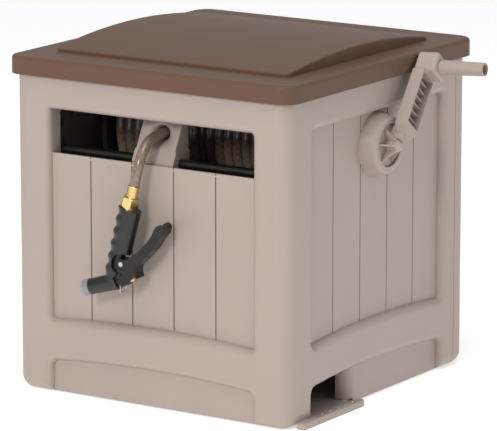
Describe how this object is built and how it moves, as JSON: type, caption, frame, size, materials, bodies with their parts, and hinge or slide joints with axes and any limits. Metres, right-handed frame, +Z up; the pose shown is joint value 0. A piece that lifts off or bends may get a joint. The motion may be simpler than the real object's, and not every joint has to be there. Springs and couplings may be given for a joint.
{
  "type": "hose reel box",
  "caption": "Moulded resin cabinet with a hinged lid, a crank-wound hose reel, a sliding hose guide behind a front window and a pistol nozzle.",
  "frame": {"origin": "middle of the footprint, on the ground", "axes": "+X to the crank side, +Y to the back, +Z up"},
  "size_m": [0.7658, 0.6793, 0.644],
  "materials": {
    "resin": "light taupe moulded resin, fine grain",
    "resin_lid": "dark brown moulded resin",
    "resin_dark": "dark moulded resin",
    "reel_plastic": "dark moulded resin",
    "bearing": "black acetal",
    "rod_black": "black paint",
    "steel": "plated",
    "brass": "turned",
    "hose": "smoky hose wall",
    "rubber": "black rubber",
    "rubber_grey": "grey",
    "zinc": "dark painted die casting"
  },
  "bodies": {
    "box": {"base_panel": "resin_dark", "front_panel": "resin", "back_panel": "resin", "left_side_panel": "resin", "right_side_panel": "resin", "panel_screws": "steel", "hinge_pins": "steel", "guide_rod": "rod_black", "guide_rail": "rod_black", "rod_bracket_right": "resin_dark", "rod_bracket_left": "resin_dark", "bracket_screws": "steel", "bearing_right": "bearing", "bearing_left": "bearing", "inlet_plate": "resin", "inlet_screws": "steel", "inlet_nipple": "brass", "inlet_o_rings": "rubber"},
    "lid": {"lid": "resin_lid"},
    "reel": {"drum": "reel_plastic", "flange_right": "reel_plastic", "flange_left": "reel_plastic", "axle_right": "bearing", "axle_left": "bearing", "reel_screws": "steel", "water_elbow": "bearing", "drum_outlet": "brass", "hose_core": "hose", "hose_winding": "hose", "crank_arm": "resin", "axle_bolt": "steel", "grip_pin": "steel"},
    "grip": {"crank_grip": "resin"},
    "guide": {"guide_block": "resin", "hose_lead": "hose", "hose_end": "hose", "hose_ferrule": "brass", "hose_hex": "brass", "nozzle_body": "zinc", "nozzle_sleeve": "rubber", "nozzle_tip": "rubber_grey", "packing_nut": "steel", "lever_pin": "steel", "valve_spring": "steel"},
    "lever": {"nozzle_lever": "zinc"},
    "stem": {"valve_stem": "steel"},
    "nut": {"adjust_nut": "brass"},
    "clip": {"hold_clip": "steel"}
  },
  "joints": [
    {"name": "lid_hinge", "type": "hinge", "parent": "box", "child": "lid", "pos_m": [0, 0.3165, 0.59], "axis": [-1, 0, 0], "range_deg": [0, 95]},
    {"name": "reel_spin", "type": "hinge", "parent": "box", "child": "reel", "pos_m": [0, 0.007, 0.465], "axis": [1, 0, 0], "continuous": true, "deforming": ["hose_lead"]},
    {"name": "grip_spin", "type": "hinge", "parent": "reel", "child": "grip", "pos_m": [0.35271, 0.11489, 0.59496], "axis": [0.9981, 0.039, 0.047], "continuous": true},
    {"name": "guide_slide", "type": "slide", "parent": "box", "child": "guide", "axis": [1, 0, 0], "range_m": [-0.16, 0.16], "deforming": ["hose_lead"]},
    {"name": "lever_squeeze", "type": "hinge", "parent": "guide", "child": "lever", "pos_m": [-0.03385, -0.33383, 0.2706], "axis": [0.0872, -0.9962, 0], "range_deg": [0, 20], "stiffness_Nm_per_rad": 1, "springref_deg": -20.05},
    {"name": "stem_slide", "type": "slide", "parent": "guide", "child": "stem", "axis": [0.9552, 0.0836, 0.284], "range_m": [0, 0.0102], "deforming": ["valve_spring"]},
    {"name": "nut_turn", "type": "hinge", "parent": "stem", "child": "nut", "pos_m": [-0.04381, -0.3347, 0.2377], "axis": [0.9552, 0.0836, 0.284], "continuous": true},
    {"name": "clip_swing", "type": "hinge", "parent": "guide", "child": "clip", "pos_m": [-0.03784, -0.33418, 0.2303], "axis": [0.0872, -0.9962, 0], "range_deg": [-20, 60]}
  ],
  "couplings": [
    {"joint": "stem_slide", "follows": "lever_squeeze", "m_per_rad": 0.0287}
  ]
}
